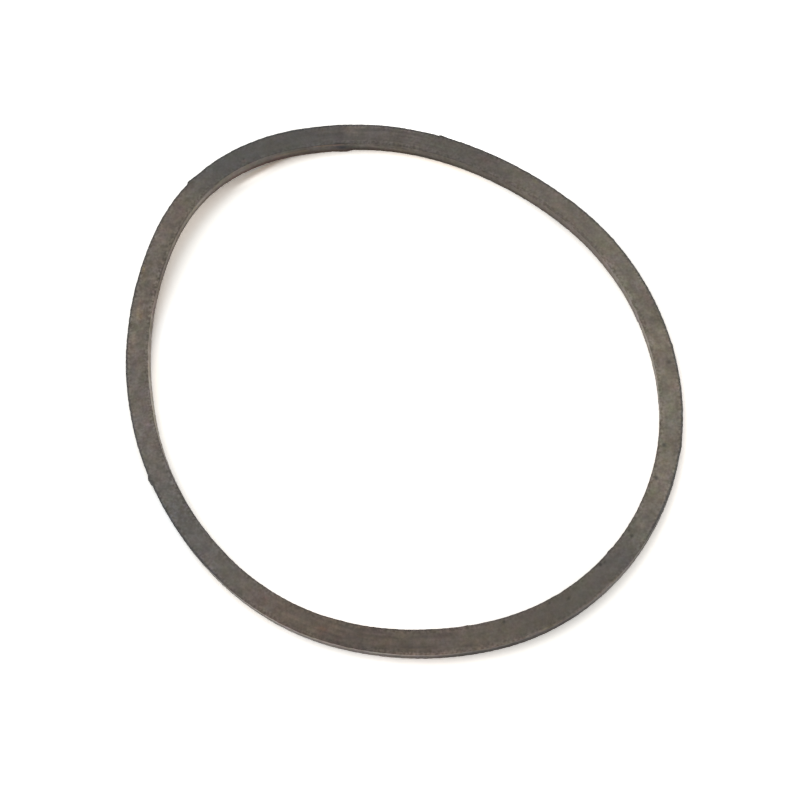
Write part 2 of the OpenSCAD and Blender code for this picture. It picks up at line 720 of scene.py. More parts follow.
# Painted shade: the rim wall is darker towards its foot, standing in for contact shade next to the card.
RIM_FOOT_TONE_AND_PAINTED_SHADE = ShadeRun(
    (
        Shade(0.0, (0.062, 0.055, 0.050)),
        Shade(215.0, (0.062, 0.055, 0.050)),
        Shade(235.0, (0.24, 0.22, 0.19)),
        Shade(254.0, (0.25, 0.215, 0.19)),
        Shade(268.0, (0.19, 0.155, 0.135)),
        Shade(276.0, (0.125, 0.10, 0.085)),
        Shade(286.0, (0.055, 0.043, 0.032)),
        Shade(305.0, (0.060, 0.048, 0.038)),
        Shade(317.0, (0.20, 0.175, 0.155)),
        Shade(331.0, (0.12, 0.105, 0.090)),
    )
)
# Lines along the arrises and the walls. Those that darken the outline where a wall is out of sight
# are painted shade, and the pale ones on the rim's upper arris from 274 to 318 degrees are painted
# highlight; the rest make the rubber darker or paler there.
LINES = (
    # Painted shade along the rim's upper arris, where the rim wall is out of sight.
    Line(Side.TOP, 328.0, 232.0, 6.0, 0.83, 1.10, (0.43, 0.47, 0.55)),
    Line(Side.TOP, 238.0, 270.0, 6.0, 0.82, 0.98, (0.90, 0.86, 0.86)),
    # Painted highlight along the rim's upper arris.
    Line(Side.TOP, 274.0, 293.0, 5.0, 0.87, 1.08, (1.38, 1.35, 1.41)),
    Line(Side.TOP, 297.0, 318.0, 4.0, 0.90, 1.06, (1.72, 1.67, 1.74)),
    # Painted shade along the bore's upper arris, where the bore wall is out of sight.
    Line(Side.TOP, 200.0, 345.0, 6.0, -1.08, -0.88, (0.57, 0.54, 0.59)),
    Line(Side.TOP, 36.0, 60.0, 5.0, -0.98, -0.74, (0.80, 0.77, 0.79)),
    Line(Side.TOP, 80.0, 101.0, 4.0, -0.70, -0.56, (1.12, 1.12, 1.12)),
    Line(Side.TOP, 76.0, 101.5, 4.0, -1.02, -0.84, (0.90, 0.88, 0.86)),
    Line(Side.BORE_WALL, 104.6, 109.0, 2.0, 0.84, 1.05, (1.45, 1.22, 1.00)),
    Line(Side.BORE_WALL, 112.0, 118.0, 2.0, 0.45, 0.70, (1.25, 1.12, 1.00)),
    Line(Side.BORE_WALL, 136.0, 158.0, 8.0, 0.80, 1.10, (0.48, 0.50, 0.52)),
)
# Spots of dust, bloom and grease.
STAINS = (
    Stain(2.2, 0.35, 0.7 * MM, 0.6 * MM, (0.72, 0.72, 0.70)),
    Stain(6.5, -0.10, 1.6 * MM, 0.9 * MM, (1.16, 1.20, 1.17)),
    Stain(7.8, -0.62, 1.7 * MM, 0.4 * MM, (1.28, 1.28, 1.26)),
    Stain(9.4, 0.30, 0.9 * MM, 0.6 * MM, (1.16, 1.20, 1.12)),
    Stain(12.5, 0.05, 0.7 * MM, 0.9 * MM, (0.88, 0.87, 0.86)),
    Stain(18.0, 0.45, 2.4 * MM, 0.5 * MM, (1.00, 0.90, 0.90)),
    Stain(16.5, -0.80, 2.0 * MM, 0.4 * MM, (0.88, 0.93, 0.88)),
    Stain(24.0, 0.05, 1.8 * MM, 0.7 * MM, (0.90, 0.87, 0.86)),
    Stain(35.5, -0.05, 1.8 * MM, 1.0 * MM, (1.09, 1.15, 1.08)),
    Stain(33.0, -0.50, 0.9 * MM, 0.5 * MM, (0.88, 0.83, 0.82)),
    Stain(49.5, -0.20, 2.4 * MM, 0.5 * MM, (1.14, 1.14, 1.13)),
    Stain(57.5, 0.55, 0.6 * MM, 0.35 * MM, (1.14, 1.16, 0.76)),
    Stain(64.5, 0.15, 1.6 * MM, 0.8 * MM, (1.12, 1.14, 1.04)),
    Stain(70.5, 0.20, 1.2 * MM, 0.5 * MM, (1.12, 0.95, 1.00)),
    Stain(72.0, 0.65, 1.4 * MM, 0.4 * MM, (0.88, 0.98, 1.14)),
    Stain(81.5, 0.00, 3.5 * MM, 0.5 * MM, (1.05, 1.12, 1.06)),
    Stain(86.0, 0.35, 2.2 * MM, 0.4 * MM, (1.14, 1.12, 1.10)),
    Stain(93.0, -0.25, 2.6 * MM, 0.5 * MM, (0.90, 0.88, 0.88)),
    Stain(101.4, 0.38, 1.7 * MM, 1.3 * MM, (1.48, 1.40, 1.41)),
    Stain(104.4, 0.15, 1.1 * MM, 2.8 * MM, (0.81, 0.77, 0.79)),
    Stain(107.0, 0.45, 1.6 * MM, 0.7 * MM, (1.08, 1.12, 1.16)),
    Stain(99.6, -0.25, 0.8 * MM, 0.6 * MM, (0.90, 0.86, 0.88)),
    Stain(100.8, -0.55, 1.6 * MM, 0.4 * MM, (0.88, 0.82, 0.82)),
    Stain(106.8, -0.40, 0.9 * MM, 0.25 * MM, (1.18, 1.16, 1.14)),
    Stain(121.3, -0.75, 0.6 * MM, 0.2 * MM, (1.24, 1.08, 1.12)),
    Stain(124.9, -0.48, 0.5 * MM, 0.3 * MM, (1.34, 1.12, 1.16)),
    Stain(131.5, 0.55, 3.0 * MM, 0.7 * MM, (1.08, 1.12, 1.20)),
    Stain(136.5, -0.45, 2.2 * MM, 0.6 * MM, (0.86, 0.88, 0.84)),
    Stain(141.0, -0.05, 0.6 * MM, 0.6 * MM, (1.18, 1.18, 1.14)),
    Stain(143.5, -0.25, 1.2 * MM, 0.6 * MM, (0.92, 0.86, 0.86)),
    Stain(147.4, -0.15, 0.5 * MM, 1.0 * MM, (1.22, 1.18, 1.12)),
    Stain(149.8, -0.10, 0.5 * MM, 0.9 * MM, (1.20, 1.16, 1.10)),
    Stain(154.0, -0.60, 1.6 * MM, 0.4 * MM, (0.86, 0.82, 0.76)),
    Stain(157.0, 0.70, 0.6 * MM, 0.25 * MM, (1.15, 1.15, 0.72)),
    Stain(158.5, 0.78, 0.9 * MM, 0.3 * MM, (1.10, 1.10, 1.26)),
    Stain(160.0, 0.40, 0.8 * MM, 0.4 * MM, (1.20, 1.17, 1.06)),
    Stain(162.2, -0.55, 0.9 * MM, 0.5 * MM, (0.80, 0.82, 0.84)),
    Stain(165.2, 0.28, 1.8 * MM, 0.3 * MM, (1.42, 1.36, 1.22)),
    Stain(167.2, -0.05, 1.2 * MM, 0.5 * MM, (1.00, 0.88, 0.74)),
    Stain(169.6, 0.30, 0.5 * MM, 0.4 * MM, (0.80, 0.78, 0.74)),
    Stain(172.0, 0.38, 1.4 * MM, 0.35 * MM, (1.48, 1.44, 1.36)),
    Stain(173.4, 0.70, 0.8 * MM, 0.3 * MM, (1.24, 1.28, 1.40)),
    Stain(176.4, 0.00, 0.9 * MM, 0.6 * MM, (1.16, 1.08, 1.16)),
    Stain(179.2, 0.35, 1.1 * MM, 0.6 * MM, (0.82, 0.81, 0.86)),
    Stain(187.8, -0.10, 1.3 * MM, 0.6 * MM, (1.12, 1.09, 1.08)),
    Stain(193.0, -0.35, 0.6 * MM, 0.5 * MM, (1.24, 1.16, 1.22)),
    Stain(198.5, 0.25, 1.2 * MM, 0.6 * MM, (0.90, 0.91, 0.92)),
    Stain(206.0, 0.00, 1.2 * MM, 0.8 * MM, (1.14, 1.09, 1.12)),
    Stain(209.6, 0.10, 1.0 * MM, 0.7 * MM, (0.86, 0.87, 0.84)),
    Stain(213.5, 0.20, 1.4 * MM, 0.6 * MM, (1.06, 1.12, 1.14)),
    Stain(226.5, -0.20, 1.5 * MM, 0.6 * MM, (0.88, 0.90, 0.94)),
    Stain(236.5, 0.40, 1.8 * MM, 0.4 * MM, (0.90, 0.90, 0.84)),
    Stain(238.8, -0.05, 1.2 * MM, 0.6 * MM, (1.16, 1.08, 1.00)),
    Stain(244.2, -0.20, 0.7 * MM, 0.5 * MM, (1.16, 0.95, 1.02)),
    Stain(246.0, 0.50, 1.4 * MM, 0.4 * MM, (1.05, 1.12, 1.18)),
    Stain(251.5, 0.30, 1.3 * MM, 0.8 * MM, (1.10, 1.12, 0.96)),
    Stain(257.6, 0.12, 1.0 * MM, 0.4 * MM, (1.28, 1.04, 0.98)),
    Stain(260.2, 0.35, 0.8 * MM, 0.3 * MM, (0.86, 0.80, 0.80)),
    Stain(264.4, -0.05, 2.2 * MM, 0.3 * MM, (1.30, 1.27, 1.12)),
    Stain(268.6, -0.50, 1.8 * MM, 0.5 * MM, (1.04, 1.00, 1.14)),
    Stain(276.0, 0.62, 1.8 * MM, 0.18 * MM, (1.26, 1.25, 1.08)),
    Stain(276.5, -0.45, 1.3 * MM, 0.5 * MM, (0.84, 0.88, 0.82)),
    Stain(281.5, -0.30, 1.1 * MM, 0.5 * MM, (0.86, 0.80, 0.76)),
    Stain(286.4, 0.58, 1.0 * MM, 0.3 * MM, (0.74, 0.72, 0.70)),
    Stain(287.8, 0.42, 0.4 * MM, 0.35 * MM, (1.32, 1.28, 1.22)),
    Stain(295.5, 0.30, 1.6 * MM, 0.5 * MM, (1.10, 1.12, 0.98)),
    Stain(301.5, -0.75, 1.1 * MM, 0.25 * MM, (1.24, 1.22, 1.16)),
    Stain(324.4, -0.30, 0.9 * MM, 0.6 * MM, (0.86, 0.86, 0.84)),
    Stain(326.6, 0.05, 0.7 * MM, 0.6 * MM, (1.24, 1.22, 1.18)),
    Stain(337.4, 0.00, 0.3 * MM, 0.8 * MM, (1.22, 1.22, 1.18)),
    Stain(342.8, -0.25, 1.0 * MM, 0.5 * MM, (0.86, 0.86, 0.82)),
    Stain(341.5, 0.55, 2.0 * MM, 0.3 * MM, (0.88, 0.87, 0.84)),
    Stain(348.2, -0.98, 0.5 * MM, 0.3 * MM, (0.52, 0.44, 0.38)),
    Stain(350.5, 0.10, 2.4 * MM, 1.0 * MM, (1.04, 1.10, 1.05)),
    Stain(357.0, 0.35, 1.0 * MM, 0.7 * MM, (1.04, 0.96, 0.92)),
    Stain(103.7, 0.60, 1.5 * MM, 0.60 * MM, (0.20, 0.24, 0.30), Side.BORE_WALL),
    Stain(100.5, 0.50, 1.3 * MM, 0.60 * MM, (1.30, 1.32, 1.36), Side.BORE_WALL),
)
# Where the sheet's grain shows as streaks along the band.
COMBED = (Hump(96.0, 22.0, 1.0), Hump(268.0, 34.0, 1.0))
# Where the mottle is stronger or weaker than usual.
MOTTLED = (
    Hump(2.0, 18.0, -0.12),
    Hump(44.0, 20.0, -0.28),
    Hump(120.0, 24.0, -0.32),
    Hump(160.0, 24.0, 0.40),
    Hump(206.0, 24.0, 0.32),
    Hump(306.0, 26.0, -0.36),
)


@dataclass(frozen=True)
class WallTone:
    """A cut wall's colours at its foot and higher up, and the share of its height where one gives way.

    Both colours hold painted light and shade: the foot's stands in for contact shade.
    """

    foot: ShadeRun
    upper: ShadeRun
    climb: Span

    def at(self, angle: Grid, height: Grid) -> Grid:
        """The wall's colour by station and height: a smooth climb from the foot's to the upper one."""
        share = smooth_step(height, *self.climb)[None, :, None]
        return self.foot.at(angle) * (1.0 - share) + self.upper.at(angle) * share


@dataclass(frozen=True)
class RubberTone:
    """Where the rubber is paler, darker, warmer or cooler, and where it is combed along the band.

    The walls, some lines along the arrises and the pits also hold painted light and shade.
    """

    top: ShadeRun = TOP_SHADES
    bore_wall: WallTone = WallTone(BORE_FOOT_TONE_AND_PAINTED_SHADE, BORE_WALL_TONE_AND_PAINTED_LIGHT, (0.12, 0.55))
    rim_wall: WallTone = WallTone(RIM_FOOT_TONE_AND_PAINTED_SHADE, RIM_WALL_TONE_AND_PAINTED_LIGHT, (0.48, 0.98))
    lines: tuple[Line, ...] = LINES
    stains: tuple[Stain, ...] = STAINS
    combed: tuple[Hump, ...] = COMBED
    mottled: tuple[Hump, ...] = MOTTLED
    # How much the deepest pit is darkened, as painted shade in the hollow.
    pit_painted_shade: float = 0.70
    sideways: float = 0.775
    rubbed: Span = (0.45, 0.85)

    def sides(self, out_x: Grid) -> dict[Side, Grid]:
        """Which points of the section belong to each side: the walls are those that face sideways."""
        rim, bore = out_x > self.sideways, out_x < -self.sideways
        return {Side.TOP: ~(rim | bore), Side.RIM_WALL: rim, Side.BORE_WALL: bore}

    def colour(self, angle: Grid, lie: Lie, section: Section, face: WornFace) -> Grid:
        """The rubber's colour over the whole surface, painted light and shade included.

        The top takes its shade from its run, and each wall from its tone, which holds painted light and
        shade. Lines and stains then multiply the colour, and the pits darken it as painted shade. A
        stain's strength is exp(-(distance / half size)^2).

        Args:
            angle: angles round the ring, in degrees, as a column.
            lie: the centre line, for distances along the ring.
            section: the band's section.
            face: the upper face, for its pits.

        Returns:
            Red, green and blue, last in the array.
        """
        x, z, out_x, _ = section.outline()
        half = section.band / 2.0
        height = z / section.thickness
        result = np.repeat(self.top.at(angle), len(x), axis=1)
        sides = self.sides(out_x)
        for side, wall in ((Side.BORE_WALL, self.bore_wall), (Side.RIM_WALL, self.rim_wall)):
            result = np.where(sides[side][None, :, None], wall.at(angle, height), result)
        for line in self.lines:
            place = x / half if line.side is Side.TOP else height
            share = line.along(angle) * line.across(place) * sides[line.side]
            result *= 1.0 + share[..., None] * (np.array(line.factor) - 1.0)
        for stain in self.stains:
            spot = x - stain.place * half if stain.side is Side.TOP else z - stain.place * section.thickness
            along = np.radians(turned(angle, stain.direction)) * lie.radius(angle)
            reach = (along / stain.half_length) ** 2 + (spot / stain.half_width) ** 2
            share = np.exp(-reach) * sides[stain.side]
            result *= 1.0 + share[..., None] * (np.array(stain.factor) - 1.0)
        # Painted shade: each pit is darkened more towards its deepest point.
        pits = face.sink(angle, np.broadcast_to(x, result.shape[:2]), lie, section) / face.deepest
        return result * (1.0 - self.pit_painted_shade * (pits * sides[Side.TOP])[..., None])

    def combing(self, angle: Grid) -> Grid:
        """How strongly the band is streaked along its length at each angle, from 0 to 1."""
        return sum(hump.at(angle) for hump in self.combed)

    def mottling(self, angle: Grid) -> Grid:
        """How strongly the rubber is mottled at each angle, where 1 is the usual strength."""
        return 1.0 + sum(hump.at(angle) for hump in self.mottled)

    def rubbing(self, section: Section) -> Grid:
        """How rubbed the upper face is: a smooth climb from 0 towards its middle to 1 at its arrises.

        Args:
            section: the band's section.

        Returns:
            The rubbing at each point of the section, nought on the walls.
        """
        x, _, out_x, _ = section.outline()
        near = smooth_step(np.abs(x) / (section.band / 2.0), *self.rubbed)
        return near * self.sides(out_x)[Side.TOP]


class NodeBoard:
    """A short hand for laying out a material's nodes."""

    # The places of a Mix node's sockets for colours: its share, its two colours and its result.
    SHARE = 0
    FIRST = 6
    SECOND = 7
    MIXED = 2

    def __init__(self, tree: bpy.types.NodeTree) -> None:
        """Keeps the node tree and empties it.

        Args:
            tree: the material's or world's node tree.
        """
        self.tree = tree
        tree.nodes.clear()

    def add(self, kind: str, **settings: object) -> bpy.types.Node:
        """Adds a node and sets its properties.

        Args:
            kind: the node's type name.
            settings: property values by name.

        Returns:
            The new node.
        """
        node = self.tree.nodes.new(kind)
        for name, value in settings.items():
            setattr(node, name, value)
        return node

    def put(self, socket: Socket, value: Input) -> None:
        """Links an output to a socket, or sets the socket's own value.

        Args:
            socket: the input that is fed.
            value: what feeds it.
        """
        if isinstance(value, Socket):
            self.tree.links.new(value, socket)
        else:
            socket.default_value = value

    def maths(self, operation: str, *values: Input) -> Socket:
        """A Math node's result for the given inputs.

        Args:
            operation: the node's operation, such as "MULTIPLY".
            values: the inputs in order.

        Returns:
            The result.
        """
        node = self.add("ShaderNodeMath", operation=operation)
        for socket, value in zip(node.inputs, values):
            self.put(socket, value)
        return node.outputs[0]

    def ramp(self, value: Input, source: Span, target: Span) -> Socket:
        """Smoothly carries a value from one span over to another, and holds it at the ends.

        Args:
            value: the value to carry over.
            source: the span that it moves in.
            target: what the source's two ends become.

        Returns:
            The value in the target span.
        """
        node = self.add("ShaderNodeMapRange", interpolation_type="SMOOTHSTEP")
        for socket, setting in zip(node.inputs, (value, *source, *target)):
            self.put(socket, setting)
        return node.outputs[0]

    def noise(self, vector: Input, size: float, detail: float = 2.0) -> tuple[Socket, Socket]:
        """Soft noise at a position, with patches of about the given size.

        Args:
            vector: the position.
            size: the patches' size, in the position's unit.
            detail: how many finer layers are added.

        Returns:
            The noise as a number and as a colour.
        """
        node = self.add("ShaderNodeTexNoise")
        self.put(node.inputs["Vector"], vector)
        node.inputs["Scale"].default_value = 1.0 / size
        node.inputs["Detail"].default_value = detail
        return node.outputs["Fac"], node.outputs["Color"]

    def scaled(self, vector: Input, factor: Input) -> Socket:
        """A vector or colour times a number.

        Args:
            vector: the vector or colour.
            factor: the number.

        Returns:
            The product.
        """
        node = self.add("ShaderNodeVectorMath", operation="SCALE")
        self.put(node.inputs[0], vector)
        self.put(node.inputs["Scale"], factor)
        return node.outputs[0]

    def added(self, vector: Input, other: Input) -> Socket:
        """The sum of two vectors or colours.

        Args:
            vector: the first.
            other: the second.

        Returns:
            The sum.
        """
        node = self.add("ShaderNodeVectorMath", operation="ADD")
        self.put(node.inputs[0], vector)
        self.put(node.inputs[1], other)
        return node.outputs[0]

    def length(self, vector: Input) -> Socket:
        """A vector's length.

        Args:
            vector: the vector.

        Returns:
            The length.
        """
        node = self.add("ShaderNodeVectorMath", operation="LENGTH")
        self.put(node.inputs[0], vector)
        return node.outputs["Value"]

    def parts(self, vector: Input) -> tuple[Socket, ...]:
        """A vector's or colour's three parts.

        Args:
            vector: the vector or colour.

        Returns:
            The parts, in order.
        """
        node = self.add("ShaderNodeSeparateXYZ")
        self.put(node.inputs[0], vector)
        return tuple(node.outputs)

    def reach(self, vector: Input, place: Triple, turn: float, size: Triple) -> Socket:
        """How far a position lies from a turned oval's middle, where 1 is the oval's edge.

        Args:
            vector: the position.
            place: the oval's middle.
            turn: its turn, in radians anticlockwise.
            size: its half length and half width, and 1.

        Returns:
            The distance, as a share of the oval's size.
        """
        mapping = self.add("ShaderNodeMapping", vector_type="TEXTURE")
        for name, value in (("Location", place), ("Rotation", (0.0, 0.0, turn)), ("Scale", size)):
            mapping.inputs[name].default_value = value
        self.put(mapping.inputs["Vector"], vector)
        return self.length(mapping.outputs[0])

    def blend(self, share: Input, first: Input, second: Input, how: str = "MIX") -> Socket:
        """Two colours mixed by a share.

        Args:
            share: 0 for the first colour alone, and 1 for the full effect of the second.
            first: the first colour.
            second: the second colour.
            how: the way of mixing, such as "MULTIPLY".

        Returns:
            The mixed colour.
        """
        node = self.add("ShaderNodeMix", data_type="RGBA", blend_type=how)
        for place, value in ((self.SHARE, share), (self.FIRST, first), (self.SECOND, second)):
            self.put(node.inputs[place], value)
        return node.outputs[self.MIXED]

    def attribute(self, name: str) -> bpy.types.Node:
        """A node that reads one of the mesh's attributes."""
        return self.add("ShaderNodeAttribute", attribute_name=name)


# How the mottle's swings change red, green and blue: paler and greyer, redder at one lightness, bluer.
LIGHTER = (0.92, 1.0, 1.18)
REDDER = (1.0, -0.5, 0.0)
BLUER = (0.0, -0.18, 1.0)


@dataclass(frozen=True)
class Mottle:
    """Patches of one size: some lighter or darker, others redder or greener, bluer or yellower."""

    size: float
    light: float
    red: float
    blue: float
    detail: float = 2.0
    spread: Span = (0.30, 0.70)

    def factor(self, board: NodeBoard, place: Socket, depth: Input) -> Socket:
        """The factors on red, green and blue.

        Three noises that wander apart each swing a little either way from 0. The first makes the rubber
        lighter and, as dust does, a little greyer. The others turn the hue and leave it as light as it
        was. The factors are 1 + the sum of swing * direction.

        Args:
            board: the node board.
            place: the position on the object.
            depth: a further strength of the lighter and darker patches, from 0 up.

        Returns:
            The factors, as a vector socket.
        """
        noise, colours = board.noise(place, self.size, self.detail)
        _, second, third = board.parts(colours)
        wave = board.ramp(noise, self.spread, (-self.light, self.light))
        swings = (
            (board.maths("MULTIPLY", wave, depth), LIGHTER),
            (board.maths("MULTIPLY_ADD", second, 2.0 * self.red, -self.red), REDDER),
            (board.maths("MULTIPLY_ADD", third, 2.0 * self.blue, -self.blue), BLUER),
        )
        factor = (1.0, 1.0, 1.0)
        for swing, direction in swings:
            factor = board.added(board.scaled(direction, swing), factor)
        return factor


@dataclass(frozen=True)
class RubberFinish:
    """Old matt rubber: mottled in light and in hue, and streaked along the band where it is combed."""

    clouds: Mottle = Mottle(4.6 * MM, light=0.19, red=0.07, blue=0.12)
    patches: Mottle = Mottle(1.6 * MM, light=0.16, red=0.105, blue=0.20)
    flecks: Mottle = Mottle(0.50 * MM, light=0.15, red=0.062, blue=0.115)
    fleck_rubbed: float = 2.6
    cloud_spread: Span = (0.34, 0.66)
    streak_size: float = 0.55 * MM
    streak_stretch: float = 0.08
    streak_spread: Span = (0.28, 0.72)
    streak_depth: float = 0.05
    combed_depth: float = 0.24
    roughness: Span = (0.46, 0.66)
    grain_size: float = 0.30 * MM
    grain_depth: float = 0.02 * MM
    name: str = "old_rubber"

    def make(self) -> bpy.types.Material:
        """Builds the material: painted colour, times the three mottles and the streaks.

        The flecks are stronger where the rubber is rubbed.

        Returns:
            The material.
        """
        material = bpy.data.materials.new(self.name)
        material.use_nodes = True
        board = NodeBoard(material.node_tree)
        place = board.add("ShaderNodeTexCoord").outputs["Object"]
        colour = board.attribute("shade").outputs["Color"]
        rubbing = board.attribute("rubbing").outputs["Fac"]
        mottling = board.attribute("mottling").outputs["Fac"]
        rubbed = board.ramp(rubbing, (0.0, 1.0), (1.0, self.fleck_rubbed))
        depths = (mottling, mottling, board.maths("MULTIPLY", mottling, rubbed))
        for mottle, depth in zip((self.clouds, self.patches, self.flecks), depths):
            colour = board.blend(1.0, colour, mottle.factor(board, place, depth), "MULTIPLY")
        colour = board.scaled(colour, self.streaks(board, place))
        shader = board.add("ShaderNodeBsdfPrincipled")
        board.put(shader.inputs["Base Color"], colour)
        cloud, _ = board.noise(place, self.clouds.size)
        board.put(shader.inputs["Roughness"], board.ramp(cloud, self.cloud_spread, self.roughness))
        board.put(shader.inputs["Normal"], self.grain(board, place))
        output = board.add("ShaderNodeOutputMaterial")
        board.put(output.inputs["Surface"], shader.outputs[0])
        return material

    def streaks(self, board: NodeBoard, place: Socket) -> Socket:
        """Fine lines along the band: noise that is slow along the ring and quick round its section.

        The position is shrunk by the stretch, and its height gives way to the distance round the
        section. The noise, from -1 to 1, is scaled by the combing at each place, and 1 is added.

        Args:
            board: the node board.
            place: the position on the object.

        Returns:
            The factor on the colour.
        """
        x, y, _ = board.parts(board.scaled(place, self.streak_stretch))
        line = board.add("ShaderNodeCombineXYZ")
        girth = board.attribute("girth").outputs["Fac"]
        for socket, value in zip(line.inputs, (x, y, girth)):
            board.put(socket, value)
        noise, _ = board.noise(line.outputs[0], self.streak_size)
        wave = board.ramp(noise, self.streak_spread, (-1.0, 1.0))
        combing = board.attribute("combing").outputs["Fac"]
        depth = board.ramp(combing, (0.0, 1.0), (self.streak_depth, self.combed_depth))
        return board.maths("MULTIPLY_ADD", wave, depth, 1.0)

    def grain(self, board: NodeBoard, place: Socket) -> Socket:
        """A fine matt grain in the surface's direction.

        Args:
            board: the node board.
            place: the position on the object.

        Returns:
            The direction.
        """
        bump = board.add("ShaderNodeBump")
        bump.inputs["Distance"].default_value = self.grain_depth
        board.put(bump.inputs["Height"], board.noise(place, self.grain_size)[0])
        return bump.outputs[0]


@dataclass
class Washer:
    """The washer itself: one closed surface swept round the ring."""

    section: Section = field(default_factory=Section)
    lie: Lie = field(default_factory=Lie)
    edges: CutEdges = field(default_factory=CutEdges)
    nick: Nick = field(default_factory=Nick)
    face: WornFace = field(default_factory=WornFace)
    tone: RubberTone = field(default_factory=RubberTone)
    finish: RubberFinish = field(default_factory=RubberFinish)
    stations: int = 1200
    seed: int = 7
    name: str = "rubber_ring"

    def build(self) -> bpy.types.Object:
        """Makes the ring on a grid of stations and section points, and dresses it.

        Returns:
            The ring, in the frame's own place.
        """
        angle = np.linspace(0.0, 360.0, self.stations, endpoint=False)[:, None]
        ring = self.mesh(self.centred(self.surface(angle)))
        self.dress(ring.data, angle)
        return ring

    def surface(self, angle: Grid) -> Grid:
        """Works out the ring's surface.

        Each edge's gain grows evenly from nought in the middle of the band to its whole at half the
        band. The wobble moves the top up and down and the walls in and out, and the pits sink the top.
        The section is then laid round the ring, the nick is pressed in, and nothing goes below 0.

        Args:
            angle: the stations' angles, in degrees, as a column.

        Returns:
            Positions by station and section point, with the three coordinates last.
        """
        waves = RandomWaves(self.seed)
        x, z, out_x, out_z = self.section.outline()
        half, share = self.section.band / 2.0, z / self.section.thickness
        rim = self.edges.gain(Edge.RIM, angle, share, waves)
        bore = self.edges.gain(Edge.BORE, angle, share, waves)
        across = x + rim * np.clip(x / half, 0.0, 1.0) - bore * np.clip(-x / half, 0.0, 1.0)
        upper = np.clip(out_z, 0.0, 1.0)
        wobble = self.face.wobble(angle, self.section.girth(), waves)
        sink = self.face.sink(angle, across, self.lie, self.section) * upper
        height = z + wobble * upper - sink
        across = across + self.face.wall_share * wobble * out_x
        points = self.lie.placed(angle, across, height, self.section)
        tip = float(bore[int(self.nick.direction / 360.0 * self.stations)].max())
        points = self.nick.pressed(points, self.nick.centre(self.lie, self.section, tip))
        points[..., 2] = np.maximum(points[..., 2], 0.0)
        return points

    def dress(self, mesh: bpy.types.Mesh, angle: Grid) -> None:
        """Paints the ring and gives it its finish.

        Args:
            mesh: the ring's mesh.
            angle: the stations' angles, in degrees, as a column.
        """
        shade = self.tone.colour(angle, self.lie, self.section, self.face)
        measures = {
            "girth": self.section.girth(),
            "combing": self.tone.combing(angle),
            "mottling": self.tone.mottling(angle),
            "rubbing": self.tone.rubbing(self.section),
        }
        self.paint(mesh, shade, measures)
        mesh.materials.append(self.finish.make())

    def centred(self, points: Grid) -> Grid:
        """Moves the ring so that its box has the same middle as the frame's washer, seen from above.

        Args:
            points: positions, with the three coordinates last.

        Returns:
            The moved positions, at the same heights.
        """
        low, high = (np.array(corner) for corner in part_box("washer"))
        shift = (low + high - points.min(axis=(0, 1)) - points.max(axis=(0, 1))) / 2.0
        shift[2] = 0.0
        return points + shift

    def mesh(self, points: Grid) -> bpy.types.Object:
        """Joins the grid into a closed mesh: each quad runs on to the next station and section point.

        Args:
            points: positions, by station and section point.

        Returns:
            The linked object.
        """
        rows, columns = points.shape[:2]
        index = np.arange(rows * columns).reshape(rows, columns)
        ahead = np.roll(index, -1, axis=0)
        quads = np.stack(
            [index, ahead, np.roll(ahead, -1, axis=1), np.roll(index, -1, axis=1)], axis=-1
        ).reshape(-1, 4)
        mesh = bpy.data.meshes.new(self.name)
        mesh.from_pydata(points.reshape(-1, 3), [], quads)
        mesh.polygons.foreach_set("use_smooth", np.ones(len(quads), dtype=bool))
        mesh.update()
        ring = bpy.data.objects.new(self.name, mesh)
        bpy.context.scene.collection.objects.link(ring)
        return ring

    def paint(self, mesh: bpy.types.Mesh, shade: Grid, measures: dict[str, Grid]) -> None:
        """Stores the colour and the named measures on the mesh's points.

        Args:
            mesh: the ring's mesh.
            shade: colours by station and section point.
            measures: for each attribute's name, its numbers by station, section point or both.
        """
        colour = mesh.attributes.new("shade", "FLOAT_COLOR", "POINT")
        full = np.concatenate([shade, np.ones(shade.shape[:-1] + (1,))], axis=-1)
        colour.data.foreach_set("color", full.astype(np.float32).ravel())
        for name, values in measures.items():
            attribute = mesh.attributes.new(name, "FLOAT", "POINT")
            spread = np.broadcast_to(values, shade.shape[:-1])
            attribute.data.foreach_set("value", spread.astype(np.float32).ravel())


@dataclass(frozen=True)
class PaintedLightOval:
    """A soft oval of painted light, shadow or tint on the card, so that it looks whiter, duller or warmer
    than the rest.

    Without a half width it is round. With a rim it is only a soft line round the oval, and fades at
    that share of the oval's size.
    """

    x: float
    y: float
    half_length: float
    factor: Colour
    half_width: float | None = None
    turn: float = 0.0
    rim: float | None = None

    def factors(self, board: NodeBoard, place: Socket) -> Socket:
        """The factors on the card's colour: full in the oval's middle or on its line, fading to 1.

        Args:
            board: the node board.
            place: the position on the card.

        Returns:
            The factors, as a colour.
        """
        size = (self.half_length, self.half_width or self.half_length, 1.0)
        away = board.reach(place, (self.x, self.y, 0.0), math.radians(self.turn), size)
        if self.rim is not None:
            from_line = board.maths("SUBTRACT", away, 1.0)
            away = board.maths("ABSOLUTE", board.maths("DIVIDE", from_line, self.rim))
        return board.blend(board.ramp(away, (0.0, 1.0), (1.0, 0.0)), WHITE, self.factor)


